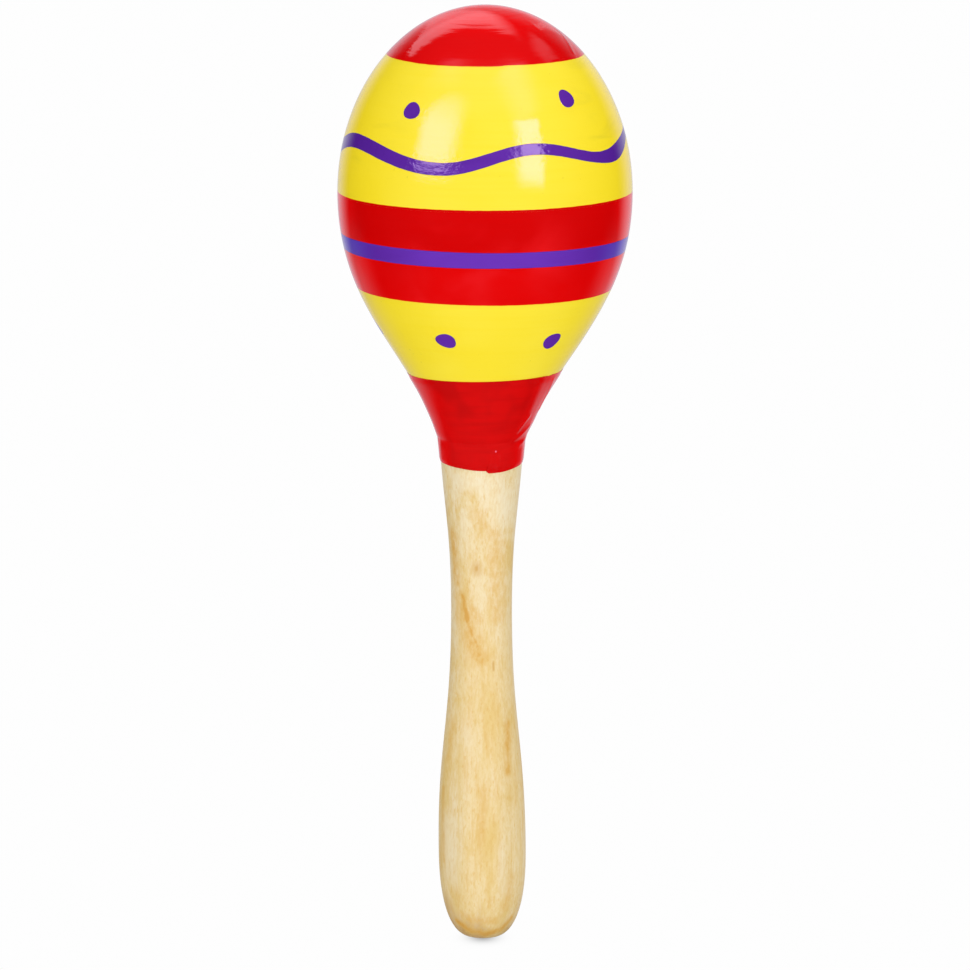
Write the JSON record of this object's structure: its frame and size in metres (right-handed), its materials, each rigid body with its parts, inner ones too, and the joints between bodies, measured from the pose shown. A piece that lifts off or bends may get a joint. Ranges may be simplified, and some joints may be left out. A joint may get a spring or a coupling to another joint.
{
  "type": "maraca",
  "caption": "Egg-shaped hollow wooden rattle head painted with bands, dots and a wavy line, on a turned handle with a wrapped neck and loose seeds inside; shaken by hand to keep rhythm.",
  "frame": {"origin": "centre of the small flat on the butt end of the handle", "axes": "+Z along the turning axis from the butt to the crown of the head; the front seen in the picture faces -Y"},
  "size_m": [0.079, 0.079, 0.254],
  "materials": {
    "handle_wood": "clear satin varnish over pale turned wood",
    "head_lacquer": "gloss lacquer, yellow with red and violet bands, over turned wood",
    "wrap_paint": "glued strip under red gloss paint",
    "seed_husk": "smooth dry seed coat"
  },
  "bodies": {
    "maraca": {"handle": "handle_wood", "lower_shell": "head_lacquer", "upper_shell": "head_lacquer", "neck_wrap": "wrap_paint"},
    "seed_01": {"rattle_seed_01": "seed_husk"},
    "seed_02": {"rattle_seed_02": "seed_husk"},
    "seed_03": {"rattle_seed_03": "seed_husk"},
    "seed_04": {"rattle_seed_04": "seed_husk"},
    "seed_05": {"rattle_seed_05": "seed_husk"},
    "seed_06": {"rattle_seed_06": "seed_husk"},
    "seed_07": {"rattle_seed_07": "seed_husk"},
    "seed_08": {"rattle_seed_08": "seed_husk"},
    "seed_09": {"rattle_seed_09": "seed_husk"},
    "seed_10": {"rattle_seed_10": "seed_husk"},
    "seed_11": {"rattle_seed_11": "seed_husk"},
    "seed_12": {"rattle_seed_12": "seed_husk"},
    "seed_13": {"rattle_seed_13": "seed_husk"},
    "seed_14": {"rattle_seed_14": "seed_husk"},
    "seed_15": {"rattle_seed_15": "seed_husk"},
    "seed_16": {"rattle_seed_16": "seed_husk"},
    "seed_17": {"rattle_seed_17": "seed_husk"},
    "seed_18": {"rattle_seed_18": "seed_husk"},
    "seed_19": {"rattle_seed_19": "seed_husk"},
    "seed_20": {"rattle_seed_20": "seed_husk"},
    "seed_21": {"rattle_seed_21": "seed_husk"},
    "seed_22": {"rattle_seed_22": "seed_husk"},
    "seed_23": {"rattle_seed_23": "seed_husk"},
    "seed_24": {"rattle_seed_24": "seed_husk"},
    "seed_25": {"rattle_seed_25": "seed_husk"},
    "seed_26": {"rattle_seed_26": "seed_husk"},
    "seed_27": {"rattle_seed_27": "seed_husk"},
    "seed_28": {"rattle_seed_28": "seed_husk"},
    "seed_29": {"rattle_seed_29": "seed_husk"},
    "seed_30": {"rattle_seed_30": "seed_husk"},
    "seed_31": {"rattle_seed_31": "seed_husk"},
    "seed_32": {"rattle_seed_32": "seed_husk"},
    "seed_33": {"rattle_seed_33": "seed_husk"},
    "seed_34": {"rattle_seed_34": "seed_husk"},
    "seed_35": {"rattle_seed_35": "seed_husk"},
    "seed_36": {"rattle_seed_36": "seed_husk"},
    "seed_37": {"rattle_seed_37": "seed_husk"}
  },
  "joints": [
    {"name": "seed_01_toss", "type": "slide", "parent": "maraca", "child": "seed_01", "axis": [0, 0, 1], "range_m": [0, 0.0843]},
    {"name": "seed_02_toss", "type": "slide", "parent": "maraca", "child": "seed_02", "axis": [0, 0, 1], "range_m": [0, 0.0838]},
    {"name": "seed_03_toss", "type": "slide", "parent": "maraca", "child": "seed_03", "axis": [0, 0, 1], "range_m": [0, 0.0838]},
    {"name": "seed_04_toss", "type": "slide", "parent": "maraca", "child": "seed_04", "axis": [0, 0, 1], "range_m": [0, 0.0838]},
    {"name": "seed_05_toss", "type": "slide", "parent": "maraca", "child": "seed_05", "axis": [0, 0, 1], "range_m": [0, 0.0838]},
    {"name": "seed_06_toss", "type": "slide", "parent": "maraca", "child": "seed_06", "axis": [0, 0, 1], "range_m": [0, 0.0838]},
    {"name": "seed_07_toss", "type": "slide", "parent": "maraca", "child": "seed_07", "axis": [0, 0, 1], "range_m": [0, 0.0838]},
    {"name": "seed_08_toss", "type": "slide", "parent": "maraca", "child": "seed_08", "axis": [0, 0, 1], "range_m": [0, 0.0823]},
    {"name": "seed_09_toss", "type": "slide", "parent": "maraca", "child": "seed_09", "axis": [0, 0, 1], "range_m": [0, 0.0823]},
    {"name": "seed_10_toss", "type": "slide", "parent": "maraca", "child": "seed_10", "axis": [0, 0, 1], "range_m": [0, 0.0823]},
    {"name": "seed_11_toss", "type": "slide", "parent": "maraca", "child": "seed_11", "axis": [0, 0, 1], "range_m": [0, 0.0823]},
    {"name": "seed_12_toss", "type": "slide", "parent": "maraca", "child": "seed_12", "axis": [0, 0, 1], "range_m": [0, 0.0823]},
    {"name": "seed_13_toss", "type": "slide", "parent": "maraca", "child": "seed_13", "axis": [0, 0, 1], "range_m": [0, 0.0823]},
    {"name": "seed_14_toss", "type": "slide", "parent": "maraca", "child": "seed_14", "axis": [0, 0, 1], "range_m": [0, 0.0823]},
    {"name": "seed_15_toss", "type": "slide", "parent": "maraca", "child": "seed_15", "axis": [0, 0, 1], "range_m": [0, 0.0823]},
    {"name": "seed_16_toss", "type": "slide", "parent": "maraca", "child": "seed_16", "axis": [0, 0, 1], "range_m": [0, 0.0823]},
    {"name": "seed_17_toss", "type": "slide", "parent": "maraca", "child": "seed_17", "axis": [0, 0, 1], "range_m": [0, 0.0823]},
    {"name": "seed_18_toss", "type": "slide", "parent": "maraca", "child": "seed_18", "axis": [0, 0, 1], "range_m": [0, 0.0823]},
    {"name": "seed_19_toss", "type": "slide", "parent": "maraca", "child": "seed_19", "axis": [0, 0, 1], "range_m": [0, 0.0823]},
    {"name": "seed_20_toss", "type": "slide", "parent": "maraca", "child": "seed_20", "axis": [0, 0, 1], "range_m": [0, 0.0797]},
    {"name": "seed_21_toss", "type": "slide", "parent": "maraca", "child": "seed_21", "axis": [0, 0, 1], "range_m": [0, 0.0797]},
    {"name": "seed_22_toss", "type": "slide", "parent": "maraca", "child": "seed_22", "axis": [0, 0, 1], "range_m": [0, 0.0797]},
    {"name": "seed_23_toss", "type": "slide", "parent": "maraca", "child": "seed_23", "axis": [0, 0, 1], "range_m": [0, 0.0797]},
    {"name": "seed_24_toss", "type": "slide", "parent": "maraca", "child": "seed_24", "axis": [0, 0, 1], "range_m": [0, 0.0797]},
    {"name": "seed_25_toss", "type": "slide", "parent": "maraca", "child": "seed_25", "axis": [0, 0, 1], "range_m": [0, 0.0797]},
    {"name": "seed_26_toss", "type": "slide", "parent": "maraca", "child": "seed_26", "axis": [0, 0, 1], "range_m": [0, 0.0797]},
    {"name": "seed_27_toss", "type": "slide", "parent": "maraca", "child": "seed_27", "axis": [0, 0, 1], "range_m": [0, 0.0797]},
    {"name": "seed_28_toss", "type": "slide", "parent": "maraca", "child": "seed_28", "axis": [0, 0, 1], "range_m": [0, 0.0797]},
    {"name": "seed_29_toss", "type": "slide", "parent": "maraca", "child": "seed_29", "axis": [0, 0, 1], "range_m": [0, 0.0797]},
    {"name": "seed_30_toss", "type": "slide", "parent": "maraca", "child": "seed_30", "axis": [0, 0, 1], "range_m": [0, 0.0797]},
    {"name": "seed_31_toss", "type": "slide", "parent": "maraca", "child": "seed_31", "axis": [0, 0, 1], "range_m": [0, 0.0797]},
    {"name": "seed_32_toss", "type": "slide", "parent": "maraca", "child": "seed_32", "axis": [0, 0, 1], "range_m": [0, 0.0797]},
    {"name": "seed_33_toss", "type": "slide", "parent": "maraca", "child": "seed_33", "axis": [0, 0, 1], "range_m": [0, 0.0797]},
    {"name": "seed_34_toss", "type": "slide", "parent": "maraca", "child": "seed_34", "axis": [0, 0, 1], "range_m": [0, 0.0797]},
    {"name": "seed_35_toss", "type": "slide", "parent": "maraca", "child": "seed_35", "axis": [0, 0, 1], "range_m": [0, 0.0797]},
    {"name": "seed_36_toss", "type": "slide", "parent": "maraca", "child": "seed_36", "axis": [0, 0, 1], "range_m": [0, 0.0797]},
    {"name": "seed_37_toss", "type": "slide", "parent": "maraca", "child": "seed_37", "axis": [0, 0, 1], "range_m": [0, 0.0797]}
  ]
}
